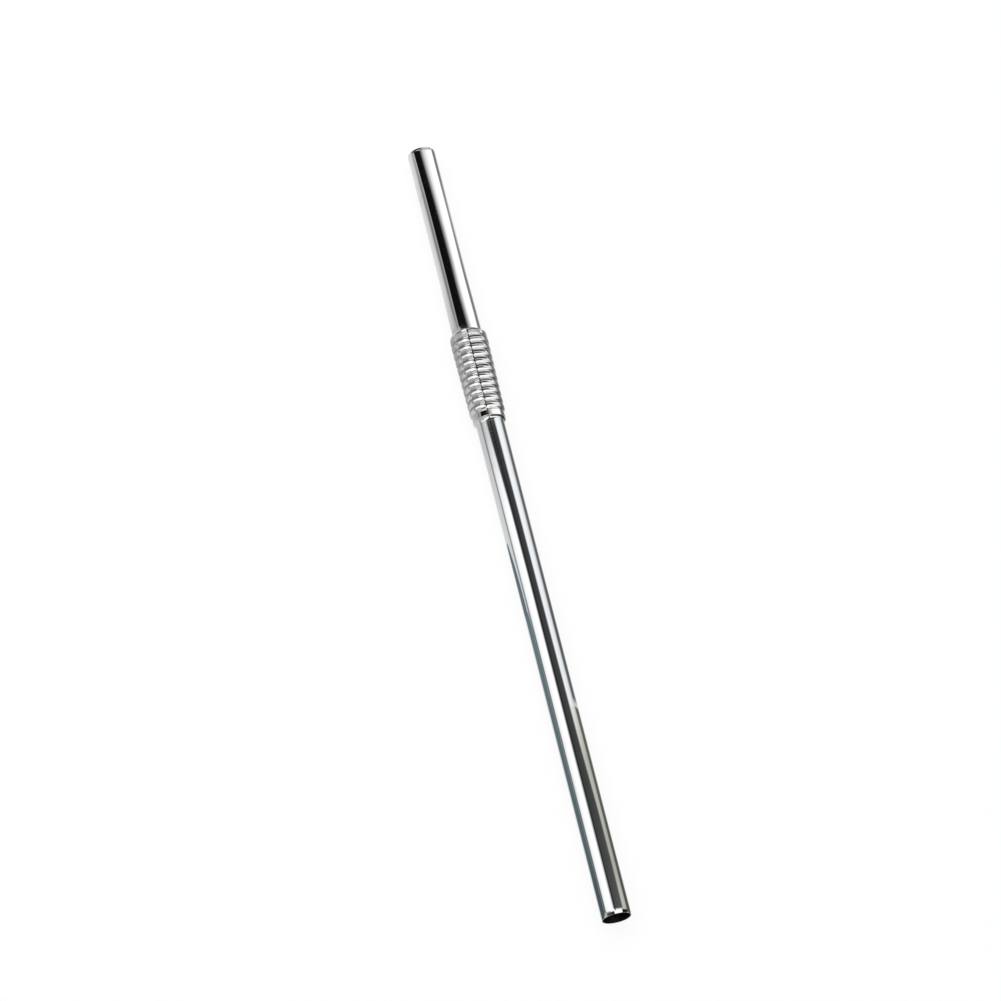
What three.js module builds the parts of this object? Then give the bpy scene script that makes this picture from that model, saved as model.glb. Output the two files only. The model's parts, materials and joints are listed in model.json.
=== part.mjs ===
// A bendable metal drinking straw: two tubes joined by a ribbed flexible neck.
// It lies along Y, drinking end towards +Y, and rests on its widest rib at z = 0.
import * as THREE from 'three';

// Tubes, in millimetres
const tubeRadius = 4;
const tubeWall = 0.35;
const lowerTubeLength = 147;
const upperTubeLength = 61.9;
const lowerEdgeLength = 1.1;
const lowerRimLand = 0.2;
const upperEdgeLength = 0.9;
const upperRimLand = 0.12;
const lowerFlareRadius = 4.12;
const lowerFlareLength = 0.8;
const upperSwellRadius = 4.2;
const upperSwellLength = 22;
const upperFlareRadius = 5.15;
const upperFlareLength = 3.4;

// Collars at the two ends of the neck, and the bead of filler under the lower one
const collarChamfer = 0.12;
const lowerCollarFootRadius = 4.66;
const lowerCollarHeadRadius = 4.57;
const lowerCollarLength = 1.85;
const lowerCollarSeat = 0.5;
const upperCollarRadius = 5.25;
const upperCollarLength = 1.2;
const beadRadius = 0.12;
const seamGap = 0.05;

// Neck: ribs outside, and between them the narrower rings that floor the grooves
const ribCount = 10;
const ribPitch = 2.34;
const ribWidth = 1.7;
const ribWall = 0.32;
const ribRounding = 0.38;
const lowerRibRadius = 5;
const upperRibRadius = 5.35;
const rootRadius = 4;
const rootWall = 0.4;
const rootWidth = 1.64;
const ribRootClearance = 0.22;

// Every round is a prism of this many sides, whose flats lie at the true radius
const sides = 24;
const flatsToCorners = 1 / Math.cos(Math.PI / sides);

const ribGap = ribPitch - ribWidth;
const ribInnerRadius = rootRadius + ribRootClearance;
const neckLength = ribCount * ribPitch;
const widestRadius = Math.max(lowerRibRadius, upperRibRadius);

// Places along the straw, from the open lower mouth up
const strawLength = lowerTubeLength + seamGap + lowerCollarLength + ribGap + neckLength
  + upperCollarLength + seamGap + upperTubeLength;
const lowerMouthY = -strawLength / 2;
const lowerTubeEndY = lowerMouthY + lowerTubeLength;
const lowerCollarY = lowerTubeEndY + seamGap;
const firstRootY = lowerCollarY + lowerCollarLength + ribGap / 2;
const upperCollarY = firstRootY + neckLength + ribGap / 2;
const upperTubeY = upperCollarY + upperCollarLength + seamGap;
const upperMouthY = upperTubeY + upperTubeLength;

const tubeSteel = new THREE.MeshStandardMaterial({ color: 0xc9cac8, roughness: 0.08, metalness: 1 });
const neckSteel = new THREE.MeshStandardMaterial({ color: 0xbfc0bb, roughness: 0.16, metalness: 1 });
const collarSteel = new THREE.MeshStandardMaterial({ color: 0xb9bdb2, roughness: 0.2, metalness: 1 });
const fillerMetal = new THREE.MeshStandardMaterial({ color: 0xd6d6d0, roughness: 0.25, metalness: 1 });

const straw = new THREE.Group();
straw.position.z = widestRadius;

// A point of an outline: distance from the straw's axis, and place along it
function point(radius, y) {
  return new THREE.Vector2(radius, y);
}

// Points on an arc round (radius, y), where 0 degrees points away from the axis and 90 up the straw;
// an arc that is longer along the straw than across it takes that length as its last value
function arc(radius, y, size, fromDegrees, toDegrees, steps, length = size) {
  return Array.from({ length: steps + 1 }, (_, i) => {
    const angle = THREE.MathUtils.degToRad(fromDegrees + (toDegrees - fromDegrees) * i / steps);
    return point(radius + size * Math.cos(angle), y + length * Math.sin(angle));
  });
}

// Points that widen smoothly from one radius to another
function widening(fromRadius, toRadius, fromY, toY, steps) {
  return Array.from({ length: steps + 1 }, (_, i) => {
    const share = i / steps;
    return point(THREE.MathUtils.lerp(fromRadius, toRadius, share * share * (3 - 2 * share)),
      THREE.MathUtils.lerp(fromY, toY, share));
  });
}

// One closed ring turned from an outline that runs up its outside and down its inside
function addRing(name, outline, material) {
  const closed = [...outline, outline[0]].map((p) => point(p.x * flatsToCorners, p.y));
  const mesh = new THREE.Mesh(new THREE.LatheGeometry(closed, sides, Math.PI / sides), material);
  mesh.name = name;
  straw.add(mesh);
}

// The inside of a tube is its outside, one wall further in, run the other way
function inner(outside) {
  return outside.map((p) => point(p.x - tubeWall, p.y)).reverse();
}

// The lower mouth is plain: the outside is eased in to a flat rim round the full bore
function addLowerTube() {
  const easing = tubeWall - lowerRimLand;
  const edge = arc(tubeRadius - easing, lowerMouthY + lowerEdgeLength, easing, -90, 0, 4, lowerEdgeLength);
  const flare = widening(tubeRadius, lowerFlareRadius, lowerTubeEndY - lowerFlareLength, lowerTubeEndY, 3);
  const rim = point(tubeRadius - tubeWall, lowerMouthY);
  addRing('lower_tube', [...edge, ...flare, ...inner(flare), rim], tubeSteel);
}

// The drinking end is rounded further in, and the other end swells into a bell on the neck
function addUpperTube() {
  const swellY = upperTubeY + upperFlareLength;
  const flare = widening(upperFlareRadius, upperSwellRadius, upperTubeY, swellY, 5);
  const swell = widening(upperSwellRadius, tubeRadius, swellY, swellY + upperSwellLength, 2).slice(1);
  const easing = tubeWall - upperRimLand;
  const edge = arc(tubeRadius - easing, upperMouthY - upperEdgeLength, easing, 0, 90, 4, upperEdgeLength);
  const rim = point(tubeRadius - tubeWall, upperMouthY);
  addRing('upper_tube', [...flare, ...swell, ...edge, rim, ...inner([...flare, ...swell])], tubeSteel);
}

// The outside of a collar is a band from foot to head with its edges broken
function band(footRadius, headRadius, y, length) {
  return [
    point(footRadius - collarChamfer, y), point(footRadius, y + collarChamfer),
    point(headRadius, y + length - collarChamfer), point(headRadius - collarChamfer, y + length),
  ];
}

// The lower collar narrows a little towards the neck, and its inward step seats on the end of the lower tube
function addLowerCollar() {
  const seatRadius = lowerFlareRadius - tubeWall;
  addRing('lower_collar', [
    ...band(lowerCollarFootRadius, lowerCollarHeadRadius, lowerCollarY, lowerCollarLength),
    point(ribInnerRadius, lowerCollarY + lowerCollarLength),
    point(ribInnerRadius, lowerCollarY + lowerCollarSeat),
    point(seatRadius, lowerCollarY + lowerCollarSeat),
    point(seatRadius, lowerCollarY),
  ], collarSteel);
}

function addUpperCollar() {
  addRing('upper_collar', [
    ...band(upperCollarRadius, upperCollarRadius, upperCollarY, upperCollarLength),
    point(ribInnerRadius, upperCollarY + upperCollarLength), point(ribInnerRadius, upperCollarY),
  ], collarSteel);
}

// The bead fills the corner between the widened tube end and the lower collar
function addLowerBead() {
  const beadY = lowerTubeEndY - beadRadius;
  const bead = arc(lowerFlareRadius + seamGap + beadRadius, beadY, beadRadius, -150, 150, 5);
  addRing('lower_bead', bead, fillerMetal);
}

// A rib is a fold of the wall: rounded outside, open towards the axis
function addRib(index) {
  const y = firstRootY + (index + 0.5) * ribPitch;
  const radius = THREE.MathUtils.lerp(lowerRibRadius, upperRibRadius, index / Math.max(ribCount - 1, 1));
  const half = ribWidth / 2;
  const cornerRadius = radius - ribRounding;
  addRing(`neck_rib_${String(index + 1).padStart(2, '0')}`, [
    point(ribInnerRadius, y - half),
    ...arc(cornerRadius, y - half + ribRounding, ribRounding, -90, 0, 2),
    ...arc(cornerRadius, y + half - ribRounding, ribRounding, 0, 90, 2),
    point(ribInnerRadius, y + half),
    point(ribInnerRadius, y + half - ribWall),
    point(radius - ribWall, y + half - ribWall),
    point(radius - ribWall, y - half + ribWall),
    point(ribInnerRadius, y - half + ribWall),
  ], neckSteel);
}

// A root ring floors one groove and reaches under the ribs on both sides of it
function addRoot(index) {
  const y = firstRootY + index * ribPitch;
  const half = rootWidth / 2;
  addRing(`neck_root_${String(index + 1).padStart(2, '0')}`, [
    point(rootRadius, y - half), point(rootRadius, y + half),
    point(rootRadius - rootWall, y + half), point(rootRadius - rootWall, y - half),
  ], neckSteel);
}

addLowerTube();
addLowerBead();
addLowerCollar();
for (let index = 0; index <= ribCount; index++) addRoot(index);
for (let index = 0; index < ribCount; index++) addRib(index);
addUpperCollar();
addUpperTube();

export default straw;
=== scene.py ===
import json
import math
import bpy
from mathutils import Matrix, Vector


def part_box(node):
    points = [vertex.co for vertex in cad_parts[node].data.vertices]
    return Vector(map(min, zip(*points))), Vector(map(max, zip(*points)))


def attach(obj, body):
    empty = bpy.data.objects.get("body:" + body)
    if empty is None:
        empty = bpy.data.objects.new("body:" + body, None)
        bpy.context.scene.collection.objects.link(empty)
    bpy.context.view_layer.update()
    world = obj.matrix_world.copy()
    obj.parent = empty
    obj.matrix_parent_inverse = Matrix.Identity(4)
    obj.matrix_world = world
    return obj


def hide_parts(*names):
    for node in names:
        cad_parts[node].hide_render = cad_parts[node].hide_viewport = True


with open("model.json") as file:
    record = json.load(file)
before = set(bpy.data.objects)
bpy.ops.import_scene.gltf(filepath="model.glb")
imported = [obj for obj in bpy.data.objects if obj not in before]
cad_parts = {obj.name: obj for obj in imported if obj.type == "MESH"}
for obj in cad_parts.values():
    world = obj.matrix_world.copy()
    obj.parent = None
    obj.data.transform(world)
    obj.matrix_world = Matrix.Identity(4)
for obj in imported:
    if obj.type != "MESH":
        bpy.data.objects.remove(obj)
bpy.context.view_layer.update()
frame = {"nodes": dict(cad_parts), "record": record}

mm = 0.001
ribNodes = sorted(name for name in frame["nodes"] if name.startswith("neck_rib"))
rootNodes = sorted(name for name in frame["nodes"] if name.startswith("neck_root"))
bodyOfNode = {node: body for body, nodes in frame["record"]["behaviour"]["bodies"].items() for node in nodes}
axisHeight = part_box(ribNodes[-1])[1].z / 2


def bottomY(node):
    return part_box(node)[0].y


def topY(node):
    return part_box(node)[1].y


def middleY(node):
    return (bottomY(node) + topY(node)) / 2


def outsideRadius(node):
    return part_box(node)[1].x


print("frame read")


# Shader maths: a Wire is one socket, and sums and products of wires add Math nodes
class Wire:
    def __init__(self, tree, socket=None):
        self.tree = tree
        self.socket = socket

    def node(self, kind, settings=None, values=None, output=0):
        made = self.tree.nodes.new(kind)
        for name, value in (settings or {}).items():
            if name == "stops":
                points = made.color_ramp.elements
                while len(points) < len(value):
                    points.new(0.5)
                for point, (place, level) in zip(points, value):
                    point.position = place
                    point.color = (level, level, level, 1)
            else:
                setattr(made, name, value)
        for name, value in (values or {}).items():
            if isinstance(value, Wire):
                self.tree.links.new(value.socket, made.inputs[name])
            else:
                made.inputs[name].default_value = value
        return Wire(self.tree, made.outputs[output])

    def maths(self, operation, first, second):
        return self.node("ShaderNodeMath", {"operation": operation}, {0: first, 1: second})

    def __add__(self, other):
        return self.maths("ADD", self, other)

    def __radd__(self, other):
        return self.maths("ADD", other, self)

    def __sub__(self, other):
        return self.maths("SUBTRACT", self, other)

    def __rsub__(self, other):
        return self.maths("SUBTRACT", other, self)

    def __mul__(self, other):
        return self.maths("MULTIPLY", self, other)

    def __rmul__(self, other):
        return self.maths("MULTIPLY", other, self)

    def split(self):
        parts = self.node("ShaderNodeSeparateXYZ", None, {0: self})
        return [Wire(self.tree, socket) for socket in parts.socket.node.outputs]

    def between(self, low, high):
        limits = {"Value": self, "From Min": low, "From Max": high}
        return self.node("ShaderNodeMapRange", {"clamp": True}, limits)


def startMaterial(name):
    material = bpy.data.materials.new(name)
    material.use_nodes = True
    tree = material.node_tree
    tree.nodes.clear()
    return material, Wire(tree)


def endMaterial(wires, shader):
    last = wires.tree.nodes.new("ShaderNodeOutputMaterial")
    wires.tree.links.new(shader.socket, last.inputs["Surface"])


def mixColours(wires, share, first, second):
    values = {"Factor": share, "A": first, "B": second}
    return wires.node("ShaderNodeMix", {"data_type": "RGBA"}, values, output=2)


# Places on the surface, in the object's own coordinates
def surfacePlace(wires):
    return wires.node("ShaderNodeTexCoord", output=3)


def scaledPlace(wires, place, scale, shift=(0, 0, 0)):
    return wires.node("ShaderNodeMapping", None, {"Vector": place, "Location": shift, "Scale": scale})


def noise(wires, place, scale, detail=2.0, roughness=0.5):
    return wires.node("ShaderNodeTexNoise", None,
                      {"Vector": place, "Scale": scale, "Detail": detail, "Roughness": roughness})


# One for rays straight from the camera, off a mirror or through a clear sheet, none for those off dull things
def seenPlainly(wires):
    seen = wires.node("ShaderNodeLightPath", output=0)
    for output in (3, 6):
        seen = seen.maths("MAXIMUM", seen, wires.node("ShaderNodeLightPath", output=output))
    return seen


def raised(wires, height, strength, distance):
    return wires.node("ShaderNodeBump", None, {"Strength": strength, "Distance": distance, "Height": height})


tubePolish = {
    "colour": (0.62, 0.628, 0.64, 1), "smudge": (0.54, 0.545, 0.55, 1),
    "roughness": 0.022, "smudgeRoughness": 0.025, "lineRoughness": 0.018,
    "lines": (5200, 34, 5200), "lineDepth": 0.05, "ripple": (150, 26, 150), "rippleDepth": 0.5,
    "marks": 95.0, "prints": 420.0, "hair": (1500, 45, 1500), "hairDepth": 0.12, "bumpHeight": 2e-5,
}
# In the neck's look, the groove colour and the shoulder colour are painted shade
neckPolish = {
    "colour": (0.65, 0.657, 0.66, 1), "dullAndGrooveShade": (0.50, 0.50, 0.48, 1), "shoulder": (0.29, 0.29, 0.28, 1),
    "roughness": 0.04, "dullRoughness": 0.05,
    "rings": (300, 9000, 300), "ringDepth": 0.08, "dents": (420, 260, 420), "dentDepth": 1.2,
    "blotches": 1100.0, "blotchDepth": 0.15, "rub": 640.0, "bumpHeight": 2e-5,
}
collarPolish = {
    "colour": (0.65, 0.66, 0.64, 1), "smudge": (0.56, 0.57, 0.54, 1), "roughness": 0.04,
    "rings": (220, 11000, 220), "marks": 520.0, "bumpHeight": 3e-6,
}
# The bore's near-black colour is painted shade
boreShadeLook = {
    "colour": (0.10, 0.098, 0.095, 1), "stain": (0.05, 0.048, 0.046, 1), "roughness": 0.3,
    "streaks": (1400, 60, 1400),
}
# The filler's dark colour on its +X side is painted shade
fillerPolish = {
    "colour": (0.76, 0.765, 0.76, 1), "pale": (0.84, 0.84, 0.82, 1), "shadedSide": (0.07, 0.066, 0.06, 1),
    "roughness": 0.1, "lumps": 900, "bumpHeight": 3e-5,
    "shadeStart": -0.2 * mm, "shadeEnd": 0.6 * mm, "shadeWander": 0.4 * mm,
}


# Mirror-polished tube: lengthwise polishing lines, handling marks, a few long hairline scratches
# and a slow ripple
def polishedTube(name, look):
    material, wires = startMaterial(name)
    place = surfacePlace(wires)
    lines = noise(wires, scaledPlace(wires, place, look["lines"]), 1.0, 3.0, 0.65)
    marks = noise(wires, place, look["marks"], 4.0, 0.6).between(0.52, 0.72)
    prints = noise(wires, scaledPlace(wires, place, (1, 0.6, 1), (0.3, 0.1, 0)), look["prints"], 3.0)
    prints = prints.between(0.5, 0.66) * marks
    hair = noise(wires, scaledPlace(wires, place, look["hair"], (7, 3, 1)), 1.0, 1.0).between(0.735, 0.76)
    ripple = noise(wires, scaledPlace(wires, place, look["ripple"]), 1.0, 1.0)
    colour = mixColours(wires, prints * 0.6 + marks * 0.12, look["colour"], look["smudge"])
    roughness = (look["roughness"] + lines.between(0.35, 0.8) * look["lineRoughness"] + hair * 0.16
                 + prints * look["smudgeRoughness"] + marks * 0.006)
    height = ripple * look["rippleDepth"] + lines * look["lineDepth"] - hair * look["hairDepth"]
    bump = raised(wires, height, 0.5, look["bumpHeight"])
    endMaterial(wires, wires.node("ShaderNodeBsdfPrincipled", None, {
        "Base Color": colour, "Roughness": roughness, "Metallic": 1.0, "Normal": bump}))
    return material


# Folded neck wall: bright on its crowns, rougher and painted darker down in the grooves, as painted shade,
# and painted dark grey in a band round the upper shoulder of each crown, a painted shade that stands in for
# dark reflections, with faint forming marks. Depth and shoulder shade are attributes of each piece, so they
# stay with the surface when the neck bends
def foldedWall(name, look):
    material, wires = startMaterial(name)
    place = surfacePlace(wires)
    deep = wires.node("ShaderNodeAttribute", {"attribute_name": "grooveDepth"}, output=2)
    blotches = noise(wires, place, look["blotches"], 3.0).between(0.3, 0.75)
    rings = noise(wires, scaledPlace(wires, place, look["rings"]), 1.0, 2.0, 0.6)
    dents = noise(wires, scaledPlace(wires, place, look["dents"]), 1.0, 2.0, 0.5)
    rub = noise(wires, scaledPlace(wires, place, (1, 1, 1), (0.2, 0, 0.4)), look["rub"], 4.0, 0.6)
    rub = rub.between(0.5, 0.75)
    # Painted shade: the colour darkens down the grooves with their depth, in blotches, and the roughness
    # rises there too
    dullnessAndGrooveShade = deep * (0.4 + blotches * 0.6)
    colour = mixColours(wires, dullnessAndGrooveShade + rub * 0.1, look["colour"], look["dullAndGrooveShade"])
    # Painted shade: a dark grey band round the upper shoulder of every crown, standing in for dark
    # reflections on each rib
    shoulder = wires.node("ShaderNodeAttribute", {"attribute_name": "shoulder"}, output=2)
    colour = mixColours(wires, shoulder * (0.7 + blotches * 0.3), colour, look["shoulder"])
    roughness = (look["roughness"] + dullnessAndGrooveShade * look["dullRoughness"] + rub * 0.05
                 + rings.between(0.4, 0.8) * 0.03)
    height = rings * look["ringDepth"] + blotches * look["blotchDepth"] + dents * look["dentDepth"]
    bump = raised(wires, height, 0.5, look["bumpHeight"])
    endMaterial(wires, wires.node("ShaderNodeBsdfPrincipled", None, {
        "Base Color": colour, "Roughness": roughness, "Metallic": 1.0, "Normal": bump}))
    return material


def turnedCollar(name, look):
    material, wires = startMaterial(name)
    place = surfacePlace(wires)
    rings = noise(wires, scaledPlace(wires, place, look["rings"]), 1.0, 2.0, 0.6)
    marks = noise(wires, place, look["marks"], 4.0, 0.6).between(0.45, 0.72)
    colour = mixColours(wires, marks * 0.7, look["colour"], look["smudge"])
    roughness = look["roughness"] + rings.between(0.35, 0.8) * 0.03 + marks * 0.03
    bump = raised(wires, rings + marks * 0.4, 0.4, look["bumpHeight"])
    endMaterial(wires, wires.node("ShaderNodeBsdfPrincipled", None, {
        "Base Color": colour, "Roughness": roughness, "Metallic": 1.0, "Normal": bump}))
    return material


# The inside of the tubes is painted dark, a painted shade, with streaks along it
def shadedBore(name, look):
    material, wires = startMaterial(name)
    place = surfacePlace(wires)
    streaks = noise(wires, scaledPlace(wires, place, look["streaks"]), 1.0, 3.0).between(0.35, 0.7)
    colour = mixColours(wires, streaks, look["colour"], look["stain"])
    endMaterial(wires, wires.node("ShaderNodeBsdfPrincipled", None, {
        "Base Color": colour, "Roughness": look["roughness"] + streaks * 0.12, "Metallic": 1.0}))
    return material


# The filler's tone varies in lumps, and its +X side is painted dark and made rougher: a painted shade on one
# side
def fusedFiller(name, look):
    material, wires = startMaterial(name)
    place = surfacePlace(wires)
    lumps = noise(wires, place, look["lumps"], 2.0)
    bump = raised(wires, lumps, 0.6, look["bumpHeight"])
    bright = mixColours(wires, lumps.between(0.4, 0.8), look["colour"], look["pale"])
    # Painted shade: darker towards +X, with a lumpy edge
    shadedSideMask = (place.split()[0] + lumps * look["shadeWander"]).between(look["shadeStart"], look["shadeEnd"])
    endMaterial(wires, wires.node("ShaderNodeBsdfPrincipled", None, {
        "Base Color": mixColours(wires, shadedSideMask, bright, look["shadedSide"]),
        "Roughness": look["roughness"] + lumps * 0.08 + shadedSideMask * 0.1, "Metallic": 1.0, "Normal": bump}))
    return material


tubeSteel = polishedTube("tubeSteel", tubePolish)
neckSteel = foldedWall("neckSteel", neckPolish)
collarSteel = turnedCollar("collarSteel", collarPolish)
boreShadeSteel = shadedBore("boreShadeSteel", boreShadeLook)
fillerSteel = fusedFiller("fillerSteel", fillerPolish)
print("finishes made")


# Outlines are lists of (distance from the axis, place along the straw), run up the outside and down the
# inside. A third value, where there is one, leans that loop by so many degrees, round the upright axis and
# back from it
def spread(first, last, steps):
    return [first + (last - first) * i / steps for i in range(steps + 1)]


def arc(radius, y, size, fromDegrees, toDegrees, steps, length=None):
    turns = [math.radians(degrees) for degrees in spread(fromDegrees, toDegrees, steps)]
    return [(radius + size * math.cos(turn), y + (length or size) * math.sin(turn)) for turn in turns]


def widening(fromRadius, toRadius, fromY, toY, steps):
    shares = spread(0, 1, steps)
    return [(fromRadius + (toRadius - fromRadius) * s * s * (3 - 2 * s), fromY + (toY - fromY) * s)
            for s in shares]


def straight(radius, fromY, toY, step):
    return [(radius, y) for y in spread(fromY, toY, max(1, round(abs(toY - fromY) / step)))]


def inside(outline, wall):
    return [(point[0] - wall, *point[1:]) for point in reversed(outline)]


def leanLoop(degrees, centre):
    for axis in ("Z", "X") if degrees > 0 else ("X", "Z"):
        if degrees:
            bpy.ops.transform.rotate(value=math.radians(degrees), orient_axis=axis, center_override=centre)


# A ring of edges is pulled along the outline, loop by loop, and closed where it meets its start
def turnedPiece(name, outline, around):
    radius, y, lean = *outline[0][:2], 0
    bpy.ops.object.select_all(action="DESELECT")
    bpy.ops.mesh.primitive_circle_add(vertices=around, radius=radius, location=(0, y, axisHeight),
                                      rotation=(math.pi / 2, 0, 0))
    piece = bpy.context.object
    piece.name = piece.data.name = name
    bpy.ops.object.mode_set(mode="EDIT")
    bpy.ops.mesh.select_all(action="SELECT")
    for newRadius, newY, *newLean in outline[1:] + outline[:1]:
        centre = (0, newY, axisHeight)
        bpy.ops.mesh.extrude_region_move(TRANSFORM_OT_translate={"value": (0, newY - y, 0)})
        leanLoop(-lean, centre)
        bpy.ops.transform.resize(value=(newRadius / radius, 1, newRadius / radius), center_override=centre)
        lean = newLean[0] if newLean else 0
        leanLoop(lean, centre)
        radius, y = newRadius, newY
    bpy.ops.mesh.select_all(action="SELECT")
    bpy.ops.mesh.remove_doubles(threshold=1e-7)
    bpy.ops.mesh.normals_make_consistent(inside=False)
    bpy.ops.object.mode_set(mode="OBJECT")
    bpy.ops.object.transform_apply(location=True, rotation=True, scale=True)
    return piece


def copyPiece(pattern, name, fromY, toY, wider):
    bpy.ops.object.select_all(action="DESELECT")
    pattern.select_set(True)
    bpy.context.view_layer.objects.active = pattern
    bpy.ops.object.duplicate()
    piece = bpy.context.object
    piece.name = piece.data.name = name
    bpy.ops.transform.translate(value=(0, toY - fromY, 0))
    bpy.ops.object.mode_set(mode="EDIT")
    bpy.ops.mesh.select_all(action="SELECT")
    bpy.ops.transform.resize(value=(wider, 1, wider), center_override=(0, toY, axisHeight))
    bpy.ops.object.mode_set(mode="OBJECT")
    bpy.ops.object.transform_apply(location=True, rotation=True, scale=True)
    return piece


# Faces that look towards the axis, further in than this radius, and the cut edges take the second material:
# the bore's painted shade
def lineBore(piece, material, radius, edgeReach=0.3 * mm):
    piece.data.materials.append(material)
    for face in piece.data.polygons:
        away = Vector((face.center.x, 0, face.center.z - axisHeight))
        cutEdge = abs(face.normal.y) > 0.99 and away.length < radius + edgeReach
        if cutEdge or away.length < radius and face.normal.dot(away) < 0:
            face.material_index = 1


def finishPiece(piece, node, material, sharpDegrees=40):
    piece.data.materials.clear()
    piece.data.materials.append(material)
    bpy.ops.object.select_all(action="DESELECT")
    piece.select_set(True)
    bpy.context.view_layer.objects.active = piece
    bpy.ops.object.shade_smooth_by_angle(angle=math.radians(sharpDegrees))
    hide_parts(node)


# Lower tube: long and straight, its plain open mouth eased on the outside, widening a little at the collar
lowerTube = {
    "radius": 4 * mm, "wall": 0.35 * mm, "easing": 0.15 * mm, "easingLength": 1.1 * mm, "burr": 0.05 * mm,
    "flareLength": 0.8 * mm, "flareLead": 0.3 * mm, "loopStep": 3 * mm, "around": 128, "boreShare": 0.7,
}


def buildLowerTube(look):
    mouth, end = bottomY("lower_tube"), topY("lower_tube")
    radius, wall, easing, burr = look["radius"], look["wall"], look["easing"], look["burr"]
    flareStart = end - look["flareLength"]
    bore = radius - wall
    outline = arc(radius - easing, mouth + look["easingLength"], easing, -90, 0, 12, look["easingLength"])
    leadStart = flareStart - look["flareLead"]
    outline += straight(radius, mouth + 1.5 * look["easingLength"], leadStart, look["loopStep"])
    flare = widening(radius, outsideRadius("lower_tube"), flareStart, end, 8)
    outline += flare + inside(flare, wall)
    outline += straight(bore, leadStart, mouth + 2 * burr, look["loopStep"])
    outline += [(bore, mouth + burr), (bore + burr, mouth)]
    piece = turnedPiece("lowerTube", outline, look["around"])
    finishPiece(piece, "lower_tube", tubeSteel)
    lineBore(piece, boreShadeSteel, radius - wall * look["boreShare"])
    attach(piece, bodyOfNode["lower_tube"])


buildLowerTube(lowerTube)
print("lower tube built")


# Upper tube: the drinking end, rounded further in, swelling towards the neck and opening into a short bell
# on it. The middle of the bell leans a little, so that it sits askew
upperTube = {
    "radius": 4 * mm, "wall": 0.35 * mm, "easing": 0.23 * mm, "easingLength": 0.9 * mm, "burr": 0.04 * mm,
    "swellRadius": 4.2 * mm, "swellLength": 22 * mm, "swellSteps": 10, "flareLength": 1.0 * mm,
    "flareSteps": 20, "flareLean": 3.5, "supportLoop": 0.06 * mm, "loopStep": 3 * mm, "around": 128,
    "boreShare": 0.7,
}


def buildUpperTube(look):
    start, mouth = bottomY("upper_tube"), topY("upper_tube")
    radius, wall, easing, burr = look["radius"], look["wall"], look["easing"], look["burr"]
    flareEnd = start + look["flareLength"]
    swellEnd = flareEnd + look["swellLength"]
    flare = widening(outsideRadius("upper_tube"), look["swellRadius"], start, flareEnd, look["flareSteps"])
    flare = [(r, y, look["flareLean"] * math.sin(math.pi * i / look["flareSteps"]))
             for i, (r, y) in enumerate(flare)]
    swellStart = flareEnd + look["supportLoop"]
    swell = widening(look["swellRadius"], radius, swellStart, swellEnd, look["swellSteps"])
    tube = straight(radius, swellEnd, mouth - 1.5 * look["easingLength"], look["loopStep"])[1:]
    body = flare + swell + tube
    lip = arc(radius - easing, mouth - look["easingLength"], easing, 0, 90, 12, look["easingLength"])
    outline = body + lip
    outline += [(radius - wall + burr, mouth), (radius - wall, mouth - burr)] + inside(body, wall)
    piece = turnedPiece("upperTube", outline, look["around"])
    finishPiece(piece, "upper_tube", tubeSteel)
    lineBore(piece, boreShadeSteel, radius - wall * look["boreShare"])
    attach(piece, bodyOfNode["upper_tube"])


buildUpperTube(upperTube)
print("upper tube built")


# Neck: one folded wall, made as ten crowns and the groove halves between them. Each half moves with the
# crown or collar that it grows from, and meets it edge to edge. A groove opens and closes at its floor, on
# the hinge
neck = {
    "arch": 0.10 * mm, "groove": 0.42 * mm, "grooveWidth": 0.30 * mm, "wall": 0.28 * mm,
    "crownWidth": 1.5 * mm, "crownSteps": 30, "grooveSteps": 14, "collarStep": 0.1 * mm, "around": 112,
    "bandStart": 0.08 * mm, "bandEnd": 0.74 * mm, "bandFade": 0.14 * mm, "sharpDegrees": 50,
}
pitch = middleY(ribNodes[1]) - middleY(ribNodes[0])
firstCrown = {"radius": outsideRadius(ribNodes[0]), "place": middleY(ribNodes[0])}
crownGrowth = outsideRadius(ribNodes[-1]) - firstCrown["radius"]
crownSlope = crownGrowth / (middleY(ribNodes[-1]) - firstCrown["place"])


def crownRadiusAt(y):
    return firstCrown["radius"] + (y - firstCrown["place"]) * crownSlope


# The skin's distance from the axis, at a place so far from the middle of the nearest groove
def skinRadius(crownRadius, fromGroove, look):
    arch = look["arch"] * (1 + math.cos(2 * math.pi * fromGroove / pitch)) / 2
    return crownRadius - arch - look["groove"] * math.exp(-(fromGroove / look["grooveWidth"]) ** 2)


def markDepth(piece, look):
    depth = piece.data.attributes.new("grooveDepth", "FLOAT", "POINT")
    for vertex, value in zip(piece.data.vertices, depth.data):
        below = crownRadiusAt(vertex.co.y) - math.hypot(vertex.co.x, vertex.co.z - axisHeight)
        value.value = min(max(below / (look["arch"] + look["groove"]), 0), 1)


# The shoulder band marked here is where the neck's painted shade goes
def markShoulderShade(piece, crown, look):
    band = piece.data.attributes.new("shoulder", "FLOAT", "POINT")
    for vertex, value in zip(piece.data.vertices, band.data):
        above = vertex.co.y - crown
        rise = (above - look["bandStart"]) / look["bandFade"]
        fall = (look["bandEnd"] - above) / look["bandFade"]
        value.value = min(max(min(rise, fall), 0), 1)


def finishSkin(piece, node, look):
    finishPiece(piece, node, neckSteel, look["sharpDegrees"])
    markDepth(piece, look)


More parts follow.
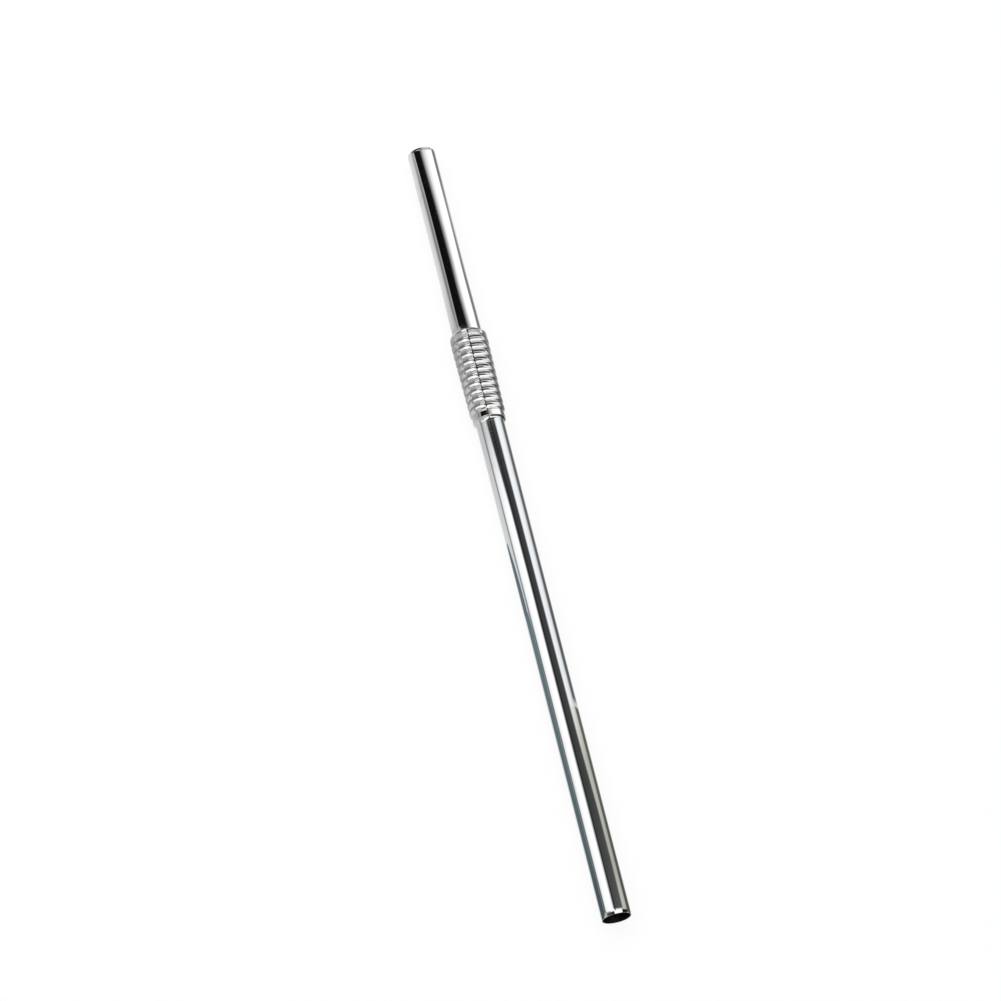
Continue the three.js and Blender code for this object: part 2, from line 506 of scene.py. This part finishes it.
def buildCrowns(look):
    middle, radius, half = middleY(ribNodes[0]), outsideRadius(ribNodes[0]), look["crownWidth"] / 2
    outline = [(skinRadius(radius, pitch / 2 - abs(place), look), middle + place)
               for place in spread(-half, half, look["crownSteps"])]
    pattern = turnedPiece("neckCrown", outline + inside(outline[::3], look["wall"]), look["around"])
    for index, node in enumerate(ribNodes):
        wider = outsideRadius(node) / radius
        piece = copyPiece(pattern, f"neckCrown{index + 1:02d}", middle, middleY(node), wider)
        finishSkin(piece, node, look)
        markShoulderShade(piece, middleY(node), look)
        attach(piece, bodyOfNode[node])
    bpy.data.objects.remove(pattern)


# One half of a groove: side -1 runs from the crown below up to the floor, side 1 from the floor to the
# crown above
def grooveHalf(name, centre, side, reach, edgeLimit, look):
    radius = crownRadiusAt(centre)
    outline = [(min(skinRadius(radius, distance, look), edgeLimit), centre + side * distance)
               for distance in spread(reach, 0, look["grooveSteps"])]
    outline = outline if side < 0 else outline[::-1]
    return turnedPiece(name, outline + inside(outline[::2], look["wall"]), look["around"])


def buildGrooves(look):
    reach = (pitch - look["crownWidth"]) / 2
    first, last = rootNodes[0], rootNodes[-1]
    pattern = {}
    for side in (-1, 1):
        pattern[side] = grooveHalf("neckGroove", middleY(first), side, reach, math.inf, look)
    neighbours = ["lower_collar"] + ribNodes + ["upper_collar"]
    for index, node in enumerate(rootNodes):
        centre = middleY(node)
        for side, word in ((-1, "Below"), (1, "Above")):
            name = f"neckGroove{index + 1:02d}{word}"
            if (node, side) == (first, -1):
                edge = outsideRadius("lower_collar") - collar["narrowing"] - look["collarStep"]
                piece = grooveHalf(name, centre, side, centre - topY("lower_collar"), edge, look)
            elif (node, side) == (last, 1):
                edge = outsideRadius("upper_collar") - look["collarStep"]
                piece = grooveHalf(name, centre, side, bottomY("upper_collar") - centre, edge, look)
            else:
                wider = crownRadiusAt(centre) / crownRadiusAt(middleY(first))
                piece = copyPiece(pattern[side], name, middleY(first), centre, wider)
            finishSkin(piece, node, look)
            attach(piece, bodyOfNode[neighbours[index] if side < 0 else neighbours[index + 1]])
    for side in pattern:
        bpy.data.objects.remove(pattern[side])


# Collars: bands with softened edges. The lower one narrows towards the neck, and steps inwards onto its tube
collar = {
    "edge": 0.13 * mm, "edgeSteps": 5, "narrowing": 0.09 * mm, "seat": 0.5 * mm, "seatRadius": 3.8 * mm,
    "innerRadius": 4.25 * mm, "around": 112, "supportLoops": (0.04 * mm, 0.12 * mm),
}


# Loops close to both edges keep the band between them flat in its shading
def bandOutline(node, narrowing, look):
    radius, low, high = outsideRadius(node), bottomY(node), topY(node)
    edge, steps = look["edge"], look["edgeSteps"]
    foot = arc(radius - edge, low + edge, edge, -90, 0, steps)
    head = arc(radius - narrowing - edge, high - edge, edge, 0, 90, steps)
    length = head[0][1] - foot[-1][1]
    rise = (head[0][0] - foot[-1][0]) / length
    nearEdges = [*look["supportLoops"], *(length - along for along in reversed(look["supportLoops"]))]
    return foot + [(foot[-1][0] + rise * along, foot[-1][1] + along) for along in nearEdges] + head


def buildCollars(look):
    inner, low, high = look["innerRadius"], bottomY("lower_collar"), topY("lower_collar")
    outline = bandOutline("lower_collar", look["narrowing"], look)
    outline += [(inner, high), (inner, low + look["seat"]), (look["seatRadius"], low + look["seat"])]
    lower = turnedPiece("lowerCollar", outline + [(look["seatRadius"], low)], look["around"])
    finishPiece(lower, "lower_collar", collarSteel)
    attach(lower, bodyOfNode["lower_collar"])
    outline = bandOutline("upper_collar", 0, look)
    outline += [(inner, topY("upper_collar")), (inner, bottomY("upper_collar"))]
    upper = turnedPiece("upperCollar", outline, look["around"])
    finishPiece(upper, "upper_collar", collarSteel)
    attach(upper, bodyOfNode["upper_collar"])


buildCrowns(neck)
buildGrooves(neck)
print("neck built")
buildCollars(collar)


# The bead of filler in the corner under the lower collar
bead = {"size": 0.17 * mm, "around": 112, "steps": 14, "sharpDegrees": 80}


def buildBead(look):
    high, size = topY("lower_bead"), look["size"]
    centre = (bottomY("lower_bead") + high) / 2
    outline = arc(outsideRadius("lower_bead") - size, centre, size, -150, 150, look["steps"])
    piece = turnedPiece("lowerBead", outline, look["around"])
    finishPiece(piece, "lower_bead", fillerSteel, look["sharpDegrees"])
    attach(piece, bodyOfNode["lower_bead"])


buildBead(bead)
print("collars and bead built")


# Camera: above the straw, whose middle is a little low and right in the picture, with the drinking end to
# the upper left
photoFrame = 1001
shot = {"azimuth": -12.908, "elevation": 64.18, "distance": 0.88, "lens": 116.05, "sensor": 36,
        "nearest": 0.05, "strawMiddle": (513.38, 514.48)}


def placeCamera(look):
    azimuth, elevation = math.radians(look["azimuth"]), math.radians(look["elevation"])
    back = Vector((math.sin(azimuth) * math.cos(elevation), -math.cos(azimuth) * math.cos(elevation),
                   math.sin(elevation)))
    bpy.ops.object.camera_add()
    camera = bpy.context.object
    camera.data.lens, camera.data.sensor_width = look["lens"], look["sensor"]
    camera.data.clip_start = look["nearest"]
    camera.rotation_mode = "QUATERNION"
    camera.rotation_quaternion = back.to_track_quat("Z", "Y")
    pixel = look["distance"] * look["sensor"] / look["lens"] / photoFrame
    right = camera.rotation_quaternion @ Vector((1, 0, 0))
    up = camera.rotation_quaternion @ Vector((0, 1, 0))
    aside, down = (value - photoFrame / 2 for value in look["strawMiddle"])
    shift = up * down * pixel - right * aside * pixel
    camera.location = Vector((0, 0, axisHeight)) + back * look["distance"] + shift
    bpy.context.scene.camera = camera
    return camera


camera = placeCamera(shot)
print("camera placed")


# Studio cards that only reflections see: curved sheets round the straw, and strips that lie on the table
# beside it. A row is (place, first, last, level). The place is where on the straw a straight tube mirrors
# that row. First and last are angles from straight up towards +X, or on the table, millimetres from the
# straw's axis. Distances are millimetres too. Levels run across the sheet, and feathers are shares of it:
# left, right, near, far
farCards = {
    "leftGrey": {
        "rows": ((-1000, -89.5, -38, 1), (620, -89.5, -38, 1)), "distance": 1250,
        "levels": ((0, 0.62), (1, 0.62))},
    "leftSoftbox": {
        "rows": ((-560, -41, 6, 1), (-135, -41, 6, 1), (-122, -76, 6, 1), (-2, -76, 6, 1),
                 (12, -76, 6, 0.88), (25, -72, 6, 0.62), (30, -60, 6, 0.7), (34, -41, 6, 1),
                 (125, -41, 6, 1.05), (150, -41, 6, 1.6), (620, -41, 6, 1.6)),
        "distance": 1200, "levels": ((0, 1.35), (0.4, 1.62), (1, 1.62)), "feather": (0.06, 0.01, 0.01, 0.01)},
    "leftDark": {
        "rows": ((126, -89.5, -48, 1), (620, -89.5, -48, 1)), "distance": 1160,
        "levels": ((0, 0.2), (1, 0.24)), "feather": (0.01, 0.2, 0.02, 0.02)},
    "lowGrey": {
        "rows": ((-3000, -60, -2, 1), (-540, -60, -2, 1)), "distance": 1195, "levels": ((0, 0.5), (1, 0.55))},
    "rightLow": {
        "rows": ((-3000, -4, 80, 1), (-124, -4, 80, 1)), "distance": 1190,
        "levels": ((0, 1.6), (1, 1.6)), "feather": (0.02, 0.02, 0.01, 0.01)},
    "lowerRight": {
        "rows": ((-60, 28, 89.5, 0.9), (-55, 28, 89.5, 0.95), (-20, 24, 89.5, 0.97), (12, 22, 89.5, 1),
                 (29, 20, 89.5, 1)),
        "distance": 1180, "levels": ((0, 1.5), (0.55, 1.5), (0.75, 1.4), (1, 1.15)),
        "tint": (0.97, 0.985, 1.0)},
    "mouthRight": {
        "rows": ((-122, 36, 89.5, 0.6), (-113, 36, 89.5, 0.6), (-105, 36, 89.5, 0.5), (-89, 34, 89.5, 0.6),
                 (-75, 30, 89.5, 0.55), (-60, 28, 89.5, 0.85)),
        "distance": 1182, "levels": ((0, 1.5), (0.55, 1.5), (0.75, 1.35), (1, 1.05)),
        "tint": (0.97, 1.0, 0.87)},
    "upperRight": {
        "rows": ((57, -12, 89.5, 1), (124, -12, 89.5, 1)), "distance": 1170,
        "levels": ((0, 1.05), (0.3, 1.1), (0.5, 1.45), (0.6, 1.65), (0.85, 1.8), (1, 2.1))},
    "rightDark": {
        "rows": ((126, 3, 89.5, 1), (1500, 3, 89.5, 1)), "distance": 1165, "levels": ((0, 0.02), (1, 0.02))},
    "farBlack": {
        "rows": ((640, -56, -2, 1), (3000, -56, -2, 1)), "distance": 1240, "levels": ((0, 0.02), (1, 0.02))},
    "charcoalBand": {
        "rows": ((-121, -20, 66, 1.6), (-105, -19, 72, 1.3), (-89, -19, 72, 1.1), (-72, -19, 59, 1),
                 (-55, -19, 55, 0.95), (-38, -19, 51, 0.92), (-20, -19, 48, 0.9), (0, -23, 46, 0.85),
                 (12.4, -31, 44, 0.8), (24.6, -39, 43, 0.75), (29, -42, 42, 0.75)),
        "distance": 1120, "levels": ((0, 0.06), (0.4, 0.07), (1, 0.1)), "feather": (0.16, 0.16, 0.01, 0.01)},
    "blackFlag": {
        "rows": ((56, -58, 44, 1), (65, -58, 42, 1), (78, -58, 38, 1), (91, -58, 33, 1), (104, -60, 25, 1),
                 (111, -65, 20, 1), (121, -70, 16, 1), (150, -60, 10, 1)),
        "distance": 1120, "levels": ((0, 0.006), (0.5, 0.008), (1, 0.03)),
        "feather": (0.05, 0.36, 0.01, 0.01)},
    "darkLine": {
        "rows": ((-1000, -4.5, 3.5, 1), (55, -4.5, 3.5, 1), (57, 0, 0, 1), (124, 0, 0, 1),
                 (126, -4.5, 3.5, 1), (700, -4.5, 3.5, 1)),
        "distance": 1060, "levels": ((0, 0.03), (1, 0.03))},
    "lowerEdgeLine": {
        "rows": ((-122, -89.5, -76, 0.3), (-105, -89.5, -76, 0.35), (-72, -89.5, -76, 0.5),
                 (-38, -89.5, -76, 0.45), (-20, -89.5, -76, 0.9), (12, -89.5, -76, 0.85),
                 (30, -89.5, -76, 0.55)),
        "distance": 1150, "levels": ((0, 0.5), (1, 0.56)), "feather": (0.01, 0.2, 0.01, 0.01)},
    "upperEdgeLine": {
        "rows": ((57, -76, -53, 1.2), (66, -78, -53, 1.1), (78, -86, -53, 1), (95, -87, -53, 1),
                 (108, -89, -56, 1.3), (121, -89.5, -60, 1.9)),
        "distance": 1140, "levels": ((0, 0.30), (0.5, 0.33), (0.8, 0.6), (1, 0.4)),
        "feather": (0.15, 0.02, 0.01, 0.01)},
}
nearCards = {
    "mouthShadeLeft": {
        "rows": ((-600, -72, -10, 1), (-121, -72, -10, 1)), "distance": 60, "levels": ((0, 0.12), (1, 0.02)),
        "feather": (0.1, 0.03, 0.01, 0.01)},
    "mouthPatch": {
        "rows": ((-600, -8, 50, 1), (-120, -8, 50, 1)), "distance": 61, "levels": ((0, 1.6), (1, 1.6))},
    "mouthShadeRight": {
        "rows": ((-600, 46, 98, 1), (-117.6, 46, 98, 1)), "distance": 60, "levels": ((0, 0.01), (1, 0.01)),
        "feather": (0.05, 0.02, 0.01, 0.01)},
    "topShade": {
        "rows": ((121, -72, 85, 1), (520, -72, 85, 1)), "distance": 60,
        "levels": ((0, 0.01), (0.42, 0.02), (0.5, 0.4), (0.6, 0.9), (1, 1.1)),
        "feather": (0.03, 0.02, 0.005, 0.02)},
    "crownGrey": {
        "rows": ((40, 3, 80, 1), (55.5, 3, 80, 1)), "distance": 60,
        "levels": ((0, 0.62), (0.3, 0.78), (0.6, 0.66), (1, 0.4)), "feather": (0.01, 0.02, 0.03, 0.03)},
    "crownGreyLeft": {
        "rows": ((40, -78, -43, 1), (57, -78, -43, 1)), "distance": 60, "levels": ((0, 0.6), (1, 0.58)),
        "feather": (0.02, 0.06, 0.03, 0.03)},
}
# Levels across the table strips, darkest next to the straw: a painted contact shadow that the straw mirrors
contactShadowLevels = (
    (0, 0.4), (0.006, 0.2), (0.012, 0.15), (0.03, 0.22), (0.06, 0.45), (0.12, 0.7), (0.3, 0.9), (1, 1.0))
tableStrips = {
    "tealStrip": {
        "rows": ((-130, -900, -7.2, 0.5), (-112, -900, -7.2, 0.55), (-100, -900, -7.2, 0.75),
                 (-72, -900, -7.2, 0.9), (-38, -900, -7.2, 1.1), (-31, -60, -7.2, 1), (-14, -18, -7.2, 0.85),
                 (-9, -12, -7.2, 1.2)),
        "distance": None, "tint": (0.68, 1.0, 1.09), "levels": ((0, 0.3), (1, 0.26)),
        "feather": (0.01, 0.0025, 0.01, 0.02)},
    "neckTable": {
        "rows": ((-8, -900, -6, 1), (14, -900, -6, 0.92), (28, -900, -6, 0.82), (32, -900, -6, 0.56),
                 (55, -900, -6, 0.56), (58, -900, -6, 0.7)),
        "distance": None, "levels": ((0, 0.95), (1, 1.0)), "feather": (0.01, 0.001, 0.02, 0.02)},
    "upperTable": {
        "rows": ((56, -900, -6, 0.75), (62, -900, -6, 0.85), (72, -900, -6, 0.95), (118, -900, -6, 1)),
        "distance": None, "tint": (1.03, 0.99, 0.96), "levels": ((0, 0.7), (0.9, 0.8), (0.96, 1.0), (1, 1.1)),
        "feather": (0.01, 0.001, 0.02, 0.02)},
    "oliveStrip": {
        "rows": ((-130, 8.3, 900, 0.6), (-100, 8.3, 900, 0.75), (-60, 8.3, 900, 0.95)),
        "distance": None, "tint": (1.0, 1.02, 0.86), "levels": contactShadowLevels,
        "feather": (0.0005, 0.01, 0.01, 0.01)},
    "rightStrip": {
        "rows": ((-60, 8.3, 900, 1), (-36, 8.3, 900, 0.8), (-14, 8.3, 900, 1), (29, 8.3, 900, 1),
                 (34, 8.3, 900, 1.7), (56, 8.3, 900, 1.7), (72, 8.3, 900, 1.7), (95, 8.3, 900, 2.5),
                 (108, 8.3, 900, 1.6), (121, 8.3, 900, 1.5)),
        "distance": None, "levels": contactShadowLevels, "feather": (0.0005, 0.01, 0.01, 0.01)},
    "rightDarkTable": {
        "rows": ((126, 14, 1300, 1), (900, 14, 1300, 1)), "distance": None, "levels": ((0, 0.03), (1, 0.03))},
    "leftDarkTable": {
        "rows": ((126, -1300, -14, 1), (900, -1300, -14, 1)), "distance": None,
        "levels": ((0, 0.2), (1, 0.2))},
}


cardMaking = {"columns": 12, "feather": (0.01, 0.01, 0.01, 0.01), "tint": (1, 1, 1), "stripHeight": 0.2 * mm}


def addCard(name, card, look):
    rows, distance, columns = card["rows"], card["distance"], look["columns"]
    cameraReach = math.hypot(camera.location.x, camera.location.z - axisHeight) / mm
    cameraPlace = camera.location.y / mm
    bpy.ops.object.select_all(action="DESELECT")
    bpy.ops.mesh.primitive_grid_add(x_subdivisions=columns, y_subdivisions=len(rows) - 1, size=1)
    sheet = bpy.context.object
    sheet.name = sheet.data.name = name
    for index, vertex in enumerate(sheet.data.vertices):
        place, first, last, level = rows[index // (columns + 1)]
        across = first + (last - first) * (index % (columns + 1)) / columns
        along = place + (place - cameraPlace) * (distance or abs(across)) / cameraReach
        if distance is None:
            vertex.co = (across * mm, along * mm, look["stripHeight"])
        else:
            turn, reach = math.radians(across), distance * mm
            vertex.co = (reach * math.sin(turn), along * mm, axisHeight + reach * math.cos(turn))
    material, wires = startMaterial(name)
    parts = wires.node("ShaderNodeTexCoord", output=2).split()
    left, right, near, far = card.get("feather", look["feather"])
    cover = parts[0].between(0, left) * (1 - parts[0]).between(0, right)
    cover = cover * parts[1].between(0, near) * (1 - parts[1]).between(0, far)
    brightest = max(level for place, level in card["levels"])
    highest = max(row[3] for row in rows)
    acrossStops = [(place, level / brightest) for place, level in card["levels"]]
    alongStops = [(index / (len(rows) - 1), row[3] / highest) for index, row in enumerate(rows)]
    strength = wires.node("ShaderNodeValToRGB", {"stops": acrossStops}, {0: parts[0]}) * brightest
    strength = strength * wires.node("ShaderNodeValToRGB", {"stops": alongStops}, {0: parts[1]}) * highest
    tint = (*card.get("tint", look["tint"]), 1)
    glow = wires.node("ShaderNodeEmission", None, {"Color": tint, "Strength": strength})
    clear = wires.node("ShaderNodeBsdfTransparent")
    endMaterial(wires, wires.node("ShaderNodeMixShader", None, {0: cover, 1: clear, 2: glow}))
    sheet.data.materials.append(material)
    sheet.visible_camera = sheet.visible_diffuse = sheet.visible_shadow = False
    sheet.visible_transmission = sheet.visible_volume_scatter = False


for cards in (farCards, nearCards, tableStrips):
    for cardName, cardLook in cards.items():
        addCard(cardName, cardLook, cardMaking)
print("cards hung")


# White table: paper white to the camera and in reflections, with a light share of the real shadow
table = {"size": 8, "white": 0.85, "shadowShare": 0.12}


def buildTable(look):
    bpy.ops.object.select_all(action="DESELECT")
    bpy.ops.mesh.primitive_plane_add(size=look["size"])
    plane = bpy.context.object
    plane.name = "whiteTable"
    material, wires = startMaterial("whiteTable")
    white = (look["white"], look["white"], look["white"], 1)
    lit = wires.node("ShaderNodeBsdfDiffuse", None, {"Color": white})
    glow = wires.node("ShaderNodeEmission", None, {"Color": (1, 1, 1, 1), "Strength": 1.0})
    paper = seenPlainly(wires) * (1 - look["shadowShare"])
    endMaterial(wires, wires.node("ShaderNodeMixShader", None, {0: paper, 1: lit, 2: glow}))
    plane.data.materials.append(material)


buildTable(table)


# Soft studio light: an even pale surround and one wide lamp overhead
studio = {"surround": 0.55, "lampSize": 1.4, "lampPlace": (-0.25, 0.2, 1.3), "lampPower": 16}


def lightStudio(look):
    world = bpy.data.worlds.new("studio")
    bpy.context.scene.world = world
    world.use_nodes = True
    world.node_tree.nodes.clear()
    wires = Wire(world.node_tree)
    strength = look["surround"] + seenPlainly(wires) * (1 - look["surround"])
    background = wires.node("ShaderNodeBackground", None, {"Color": (1, 1, 1, 1), "Strength": strength})
    last = world.node_tree.nodes.new("ShaderNodeOutputWorld")
    world.node_tree.links.new(background.socket, last.inputs["Surface"])
    bpy.ops.object.light_add(type="AREA", location=look["lampPlace"])
    lamp = bpy.context.object
    lamp.data.size = look["lampSize"]
    lamp.data.energy = look["lampPower"]
    lamp.visible_glossy = False


lightStudio(studio)
bpy.context.scene.view_settings.view_transform = "Standard"
print("studio lit")

print("scene ready")
